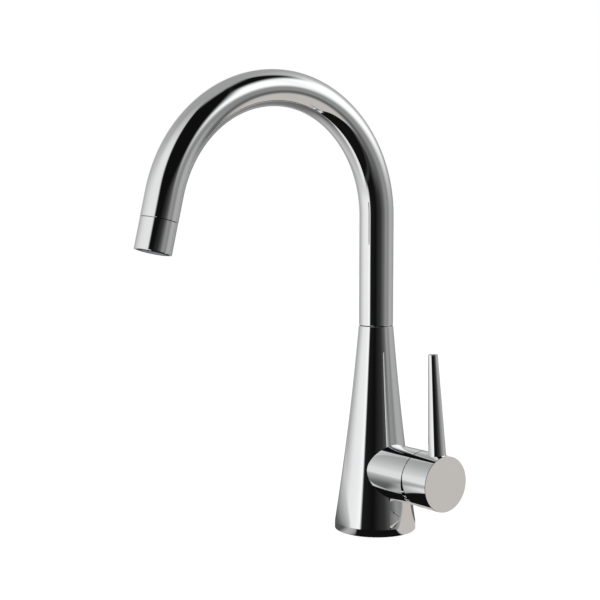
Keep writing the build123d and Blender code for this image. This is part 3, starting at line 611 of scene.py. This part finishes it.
def braid_material(name, around, along):
    """Woven nylon sleeve. around gives the turn and along the length in metres, as functions of the tree."""
    material, tree, shader = new_material(name)
    across = maths(tree, "MULTIPLY", around(tree), 2 * pi * BRAID_STRANDS)
    forward = maths(tree, "MULTIPLY", along(tree), 2 * pi / BRAID_PITCH)
    left = maths(tree, "SINE", maths(tree, "ADD", across, forward))
    right = maths(tree, "SINE", maths(tree, "SUBTRACT", across, forward))
    weave = maths(tree, "MAXIMUM", left, right)
    height = smooth_range(tree, weave, -0.6, 1.0)
    fuzz = noise(tree, 900.0, 3.0)
    # painted shade: the valleys between the strands of the weave are coloured darker than the crests
    shade = mix_colour(tree, height, (0.035, 0.036, 0.040), (0.16, 0.165, 0.18))
    colour = mix_colour(tree, maths(tree, "MULTIPLY", fuzz, 0.5), shade, (0.26, 0.27, 0.29))
    join(tree, colour, shader.inputs["Base Color"])
    join(tree, smooth_range(tree, fuzz, 0.3, 0.7, 0.45, 0.62), shader.inputs["Roughness"])
    bump(tree, shader, height, 0.7, 0.0004)
    return material


def uv_part(index):
    """A function of the tree that reads the turn (X) or the length (Y) of a tube."""
    def read(tree):
        place = node(tree, "ShaderNodeUVMap", uv_map="turn_and_length").outputs["UV"]
        parts = node(tree, "ShaderNodeSeparateXYZ")
        join(tree, place, parts.inputs[0])
        return parts.outputs[index]

    return read


def outlet_part(tree, direction):
    """Distance from the seam along a direction, read from the piece's own coordinates."""
    from_seam = node(tree, "ShaderNodeVectorMath", operation="SUBTRACT")
    join(tree, node(tree, "ShaderNodeTexCoord").outputs["Object"], from_seam.inputs[0])
    from_seam.inputs[1].default_value = seam_place()
    along = node(tree, "ShaderNodeVectorMath", operation="DOT_PRODUCT")
    join(tree, from_seam.outputs["Vector"], along.inputs[0])
    along.inputs[1].default_value = direction
    return along.outputs["Value"]


def outlet_turn(tree):
    side = outlet_part(tree, Vector((1, 0, 0)))
    other = outlet_part(tree, OUTLET.cross(Vector((1, 0, 0))))
    return maths(tree, "DIVIDE", maths(tree, "ARCTAN2", other, side), 2 * pi)


def outlet_length(tree):
    return outlet_part(tree, OUTLET)


def make_spout(chrome):
    mesh = tube_mesh("polished_spout", spout_route(), SPOUT_R, SPOUT_BORE_R, SPOUT_EDGE)
    spout = add_piece("polished_spout", mesh, chrome)
    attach(spout, "spout")
    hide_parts("spout_tube")


def make_body(source, chrome):
    body = add_piece("polished_body", refined_body(source), chrome)
    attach(body, "base")
    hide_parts("body_shell")


def make_hose():
    """The sleeve in two pieces: one that stays in the spout, and the end that is drawn out with the head on
    the real tap; this end is not attached to any body.
    """
    run = tube_mesh("hose_run", hose_route(), HOSE_R, HOSE_BORE_R, HOSE_EDGE)
    along_run = braid_material("braid_run", uv_part("X"), uv_part("Y"))
    hose_run = add_piece("hose_run", run, along_run)
    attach(hose_run, "spout")
    entry = seam_place() - OUTLET * HOSE_ENTRY
    end = seam_place() - OUTLET * HOSE_END
    stations = []
    straight(stations, entry, end, 24)
    drawn = tube_mesh("hose_end_run", stations, HOSE_R, HOSE_BORE_R, HOSE_EDGE)
    along_end = braid_material("braid_end", outlet_turn, outlet_length)
    hose_end = add_piece("hose_end_run", drawn, along_end)
    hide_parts("spray_hose")
    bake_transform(hose_end)


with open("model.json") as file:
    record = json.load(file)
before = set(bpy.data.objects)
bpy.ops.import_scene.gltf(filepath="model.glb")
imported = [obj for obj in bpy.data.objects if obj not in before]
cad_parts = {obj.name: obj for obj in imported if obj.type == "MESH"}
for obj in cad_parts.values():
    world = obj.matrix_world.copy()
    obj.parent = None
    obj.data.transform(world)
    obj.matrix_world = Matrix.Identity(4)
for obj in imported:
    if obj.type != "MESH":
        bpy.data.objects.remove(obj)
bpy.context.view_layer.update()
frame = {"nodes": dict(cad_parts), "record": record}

bpy.context.scene.view_settings.view_transform = "Standard"
make_camera()
make_studio()
make_floor()
make_painted_table_reflection()

slot_of = {row["node"]: row["material_slot"] for row in frame["record"]["subparts"]}
finishes = {
    "chrome": make_chrome(),
    "brass_part": finish_material(
        "machined_brass", (0.62, 0.44, 0.19), (0.80, 0.62, 0.32), (0.20, 0.34), 1.0,
        2400, 0.15, 0.00002, (1, 1, 6)
    ),
    "steel_part": finish_material(
        "zinc_plated_steel", (0.50, 0.51, 0.54), (0.64, 0.65, 0.66), (0.22, 0.40), 1.0, 1600, 0.20, 0.00002
    ),
    "stainless": finish_material(
        "stainless_steel", (0.60, 0.60, 0.60), (0.70, 0.70, 0.70), (0.18, 0.30), 1.0,
        3000, 0.15, 0.00002, (1, 1, 0.1)
    ),
    "black_rubber": finish_material(
        "black_rubber", (0.012, 0.012, 0.013), (0.03, 0.03, 0.03), (0.55, 0.75), 0.0, 1800, 0.3, 0.00003
    ),
    "grey_plastic": finish_material(
        "grey_plastic", (0.22, 0.23, 0.25), (0.28, 0.29, 0.31), (0.35, 0.50), 0.0, 2600, 0.2, 0.00002
    ),
    "black_plastic": finish_material(
        "black_plastic", (0.018, 0.018, 0.020), (0.032, 0.032, 0.035), (0.32, 0.48), 0.0, 2600, 0.2, 0.00002
    ),
    "white_plastic": finish_material(
        "acetal", (0.76, 0.76, 0.74), (0.84, 0.84, 0.82), (0.30, 0.42), 0.0, 2000, 0.15, 0.00002
    ),
    "ceramic": finish_material(
        "alumina", (0.84, 0.83, 0.79), (0.90, 0.89, 0.86), (0.10, 0.22), 0.0, 4000, 0.1, 0.00001
    ),
    "braid": finish_material(
        "braid", (0.10, 0.10, 0.11), (0.22, 0.23, 0.25), (0.40, 0.60), 0.0, 2000, 0.4, 0.0001
    ),
}
for name in frame["nodes"]:
    assign(frame["nodes"][name], finishes[slot_of[name]])
make_spout(finishes["chrome"])
make_body(frame["nodes"]["body_shell"].data, finishes["chrome"])
make_hose()
